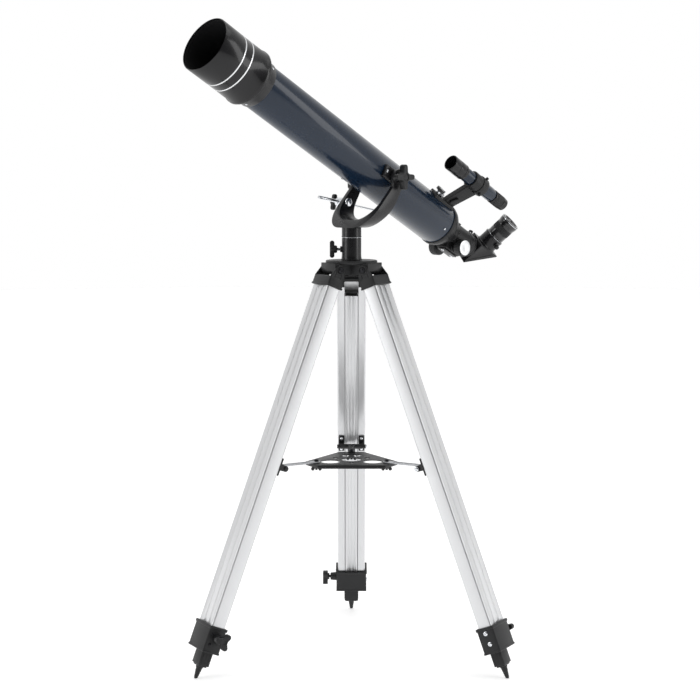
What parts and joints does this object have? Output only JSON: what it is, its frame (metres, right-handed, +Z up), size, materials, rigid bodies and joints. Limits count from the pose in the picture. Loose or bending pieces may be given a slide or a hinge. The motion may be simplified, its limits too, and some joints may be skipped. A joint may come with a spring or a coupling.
{
  "type": "refracting telescope on tripod",
  "caption": "Small refracting telescope with a finder and star diagonal on a yoke mount and a folding aluminium tripod with an accessory tray.",
  "frame": {"origin": "middle of the whole telescope's footprint, on the ground that its three feet stand on", "axes": "+Z up, +Y away from a viewer who faces the tray's front edge, towards the back leg, +X to that viewer's right"},
  "size_m": [0.5656, 0.5446, 1.0557],
  "materials": {
    "black_plastic": "moulded charcoal plastic, fine grain",
    "satin_black": "satin black paint",
    "gloss_black": "gloss black paint with two thin silver lines",
    "navy_paint": "deep navy gloss paint",
    "leg_aluminium": "brushed, clear anodised",
    "grey_steel": "dull plated steel",
    "chrome": "bright plated",
    "glass": "coated optical glass"
  },
  "bodies": {
    "head": {"tripod_head": "black_plastic", "azimuth_column": "satin_black", "leg_hinge_bolt_left": "satin_black", "leg_hinge_bolt_right": "satin_black", "leg_hinge_bolt_back": "satin_black"},
    "leg_back": {"leg_cap_back": "black_plastic", "outer_leg_back": "leg_aluminium", "leg_clamp_back": "black_plastic", "leg_bracket_back": "satin_black"},
    "inner_leg_back": {"inner_leg_back": "leg_aluminium", "foot_back": "black_plastic"},
    "clamp_knob_back": {"clamp_knob_back": "black_plastic"},
    "tray": {"accessory_tray": "black_plastic", "spreader_arm_back": "satin_black"},
    "leg_left": {"leg_cap_left": "black_plastic", "outer_leg_left": "leg_aluminium", "leg_clamp_left": "black_plastic", "leg_bracket_left": "satin_black"},
    "inner_leg_left": {"inner_leg_left": "leg_aluminium", "foot_left": "black_plastic"},
    "clamp_knob_left": {"clamp_knob_left": "black_plastic"},
    "arm_left": {"spreader_arm_left": "grey_steel"},
    "leg_right": {"leg_cap_right": "black_plastic", "outer_leg_right": "leg_aluminium", "leg_clamp_right": "black_plastic", "leg_bracket_right": "satin_black"},
    "inner_leg_right": {"inner_leg_right": "leg_aluminium", "foot_right": "black_plastic"},
    "clamp_knob_right": {"clamp_knob_right": "black_plastic"},
    "arm_right": {"spreader_arm_right": "grey_steel"},
    "wing_nut_left": {"wing_nut_left": "satin_black"},
    "wing_nut_right": {"wing_nut_right": "satin_black"},
    "wing_nut_back": {"wing_nut_back": "satin_black"},
    "lock_knob": {"azimuth_lock_knob": "black_plastic"},
    "yoke": {"yoke_fork": "satin_black"},
    "altitude_knob_right": {"altitude_knob_right": "black_plastic"},
    "altitude_knob_left": {"altitude_knob_left": "black_plastic"},
    "tube": {"main_tube": "navy_paint", "dew_shield": "gloss_black", "objective_cell": "satin_black", "objective_lens": "glass", "pivot_plate_right": "satin_black", "pivot_plate_left": "satin_black", "rod_bracket": "grey_steel", "focuser_body": "black_plastic", "pinion_cover": "satin_black", "finder_bracket": "satin_black", "finder_tube": "navy_paint", "finder_lens": "glass"},
    "swivel": {"rod_swivel": "chrome"},
    "altitude_rod": {"altitude_rod": "chrome"},
    "rod_clamp_knob": {"rod_clamp_knob": "black_plastic"},
    "drawtube": {"drawtube": "satin_black"},
    "focus_shaft": {"focus_shaft": "black_plastic"},
    "diagonal": {"star_diagonal": "satin_black"},
    "eyepiece": {"eyepiece": "satin_black"},
    "eyepiece_screw": {"eyepiece_thumb_screw": "black_plastic"},
    "finder_eyepiece": {"finder_eyepiece": "satin_black"},
    "finder_nut_front": {"finder_nut_front": "satin_black"},
    "finder_nut_rear": {"finder_nut_rear": "grey_steel"}
  },
  "joints": [
    {"name": "leg_fold_back", "type": "hinge", "parent": "head", "child": "leg_back", "pos_m": [-0.01465, 0.01261, 0.659], "axis": [-1, 0, 0], "range_deg": [0, 18]},
    {"name": "leg_extend_back", "type": "slide", "parent": "leg_back", "child": "inner_leg_back", "axis": [0, 0.3681, -0.9298], "range_m": [0, 0.43]},
    {"name": "clamp_screw_back", "type": "hinge", "parent": "leg_back", "child": "clamp_knob_back", "pos_m": [-0.06065, 0.24293, 0.06831], "axis": [-1, 0, 0], "range_deg": [0, 270]},
    {"name": "tray_fold", "type": "hinge", "parent": "leg_back", "child": "tray", "pos_m": [-0.01465, 0.11397, 0.33507], "axis": [-1, 0, 0], "range_deg": [-105, 0]},
    {"name": "leg_fold_left", "type": "hinge", "parent": "head", "child": "leg_left", "pos_m": [-0.04626, -0.04214, 0.659], "axis": [0.5, -0.866, 0], "range_deg": [0, 18]},
    {"name": "leg_extend_left", "type": "slide", "parent": "leg_left", "child": "inner_leg_left", "axis": [-0.3188, -0.1841, -0.9298], "range_m": [0, 0.43]},
    {"name": "clamp_screw_left", "type": "hinge", "parent": "leg_left", "child": "clamp_knob_left", "pos_m": [-0.22273, -0.19714, 0.06831], "axis": [0.5, -0.866, 0], "range_deg": [0, 270]},
    {"name": "arm_fold_left", "type": "hinge", "parent": "leg_left", "child": "arm_left", "pos_m": [-0.13405, -0.09283, 0.33507], "axis": [0.5, -0.866, 0], "range_deg": [0, 64]},
    {"name": "leg_fold_right", "type": "hinge", "parent": "head", "child": "leg_right", "pos_m": [0.01696, -0.04214, 0.659], "axis": [0.5, 0.866, 0], "range_deg": [0, 18]},
    {"name": "leg_extend_right", "type": "slide", "parent": "leg_right", "child": "inner_leg_right", "axis": [0.3188, -0.1841, -0.9298], "range_m": [0, 0.43]},
    {"name": "clamp_screw_right", "type": "hinge", "parent": "leg_right", "child": "clamp_knob_right", "pos_m": [0.23942, -0.11747, 0.06831], "axis": [0.5, 0.866, 0], "range_deg": [0, 270]},
    {"name": "arm_fold_right", "type": "hinge", "parent": "leg_right", "child": "arm_right", "pos_m": [0.10474, -0.09283, 0.33507], "axis": [0.5, 0.866, 0], "range_deg": [0, 64]},
    {"name": "wing_nut_turn_left", "type": "hinge", "parent": "tray", "child": "wing_nut_left", "pos_m": [-0.07354, -0.05789, 0.33567], "axis": [0, 0, 1], "range_deg": [0, 270]},
    {"name": "wing_nut_turn_right", "type": "hinge", "parent": "tray", "child": "wing_nut_right", "pos_m": [0.04424, -0.05789, 0.33567], "axis": [0, 0, 1], "range_deg": [0, 270]},
    {"name": "wing_nut_turn_back", "type": "hinge", "parent": "tray", "child": "wing_nut_back", "pos_m": [-0.01465, 0.04411, 0.33567], "axis": [0, 0, 1], "range_deg": [0, 270]},
    {"name": "azimuth_lock", "type": "hinge", "parent": "head", "child": "lock_knob", "pos_m": [-0.04465, -0.02389, 0.692], "axis": [-1, 0, 0], "range_deg": [0, 270]},
    {"name": "azimuth", "type": "hinge", "parent": "head", "child": "yoke", "pos_m": [-0.01465, -0.02389, 0.72], "axis": [0, 0, 1], "continuous": true},
    {"name": "altitude_knob_turn_right", "type": "hinge", "parent": "yoke", "child": "altitude_knob_right", "pos_m": [-0.0122, 0.06079, 0.81185], "axis": [-0.6852, 0.7284, 0], "range_deg": [0, 270]},
    {"name": "altitude_knob_turn_left", "type": "hinge", "parent": "yoke", "child": "altitude_knob_left", "pos_m": [0.07002, -0.02661, 0.81185], "axis": [0.6852, -0.7284, 0], "range_deg": [0, 270]},
    {"name": "altitude", "type": "hinge", "parent": "yoke", "child": "tube", "pos_m": [0.02891, 0.01709, 0.81185], "axis": [-0.6852, 0.7284, 0], "range_deg": [-29, 40]},
    {"name": "rod_swing", "type": "hinge", "parent": "yoke", "child": "swivel", "pos_m": [0.01012, -0.00059, 0.76895], "axis": [-0.6852, 0.7284, 0], "range_deg": [-26.2, 36.1]},
    {"name": "rod_slide", "type": "slide", "parent": "swivel", "child": "altitude_rod", "axis": [-0.7159, -0.6735, 0.1841], "range_m": [-0.024, 0.033]},
    {"name": "rod_clamp", "type": "hinge", "parent": "swivel", "child": "rod_clamp_knob", "pos_m": [-0.04195, 0.05477, 0.76895], "axis": [-0.6852, 0.7284, 0], "range_deg": [0, 270]},
    {"name": "focus_travel", "type": "slide", "parent": "tube", "child": "drawtube", "axis": [0.6377, 0.5999, -0.4833], "range_m": [0, 0.06]},
    {"name": "focus_turn", "type": "hinge", "parent": "tube", "child": "focus_shaft", "pos_m": [0.15869, 0.13917, 0.68768], "axis": [-0.6852, 0.7284, 0], "range_deg": [0, 984]},
    {"name": "diagonal_turn", "type": "hinge", "parent": "drawtube", "child": "diagonal", "pos_m": [0.19502, 0.17335, 0.68596], "axis": [0.6377, 0.5999, -0.4833], "range_deg": [-90, 90]},
    {"name": "eyepiece_pull", "type": "slide", "parent": "diagonal", "child": "eyepiece", "axis": [0.7048, -0.201, 0.6804], "range_m": [0, 0.02]},
    {"name": "eyepiece_screw_turn", "type": "hinge", "parent": "diagonal", "child": "eyepiece_screw", "pos_m": [0.24144, 0.16744, 0.69124], "axis": [0.311, -0.7744, -0.5509], "range_deg": [0, 270]},
    {"name": "finder_focus", "type": "hinge", "parent": "tube", "child": "finder_eyepiece", "pos_m": [0.23879, 0.12944, 0.77301], "axis": [0.6377, 0.5999, -0.4833], "range_deg": [-180, 180]},
    {"name": "finder_nut_turn_front", "type": "hinge", "parent": "tube", "child": "finder_nut_front", "pos_m": [0.13434, 0.07937, 0.7841], "axis": [0.7037, -0.1983, 0.6823], "range_deg": [0, 270]},
    {"name": "finder_nut_turn_rear", "type": "hinge", "parent": "tube", "child": "finder_nut_rear", "pos_m": [0.14008, 0.08476, 0.77975], "axis": [0.7037, -0.1983, 0.6823], "range_deg": [0, 270]}
  ],
  "couplings": [
    {"joint": "tray_fold", "follows": "leg_fold_back", "ratio": -5.8333},
    {"joint": "leg_fold_left", "follows": "leg_fold_back", "ratio": 1},
    {"joint": "arm_fold_left", "follows": "leg_fold_back", "ratio": 3.5556},
    {"joint": "leg_fold_right", "follows": "leg_fold_back", "ratio": 1},
    {"joint": "arm_fold_right", "follows": "leg_fold_back", "ratio": 3.5556},
    {"joint": "rod_swing", "follows": "altitude", "ratio": 0.9},
    {"joint": "rod_slide", "follows": "altitude", "m_per_rad": 0.0466},
    {"joint": "focus_turn", "follows": "focus_travel", "rad_per_m": 285.71}
  ]
}
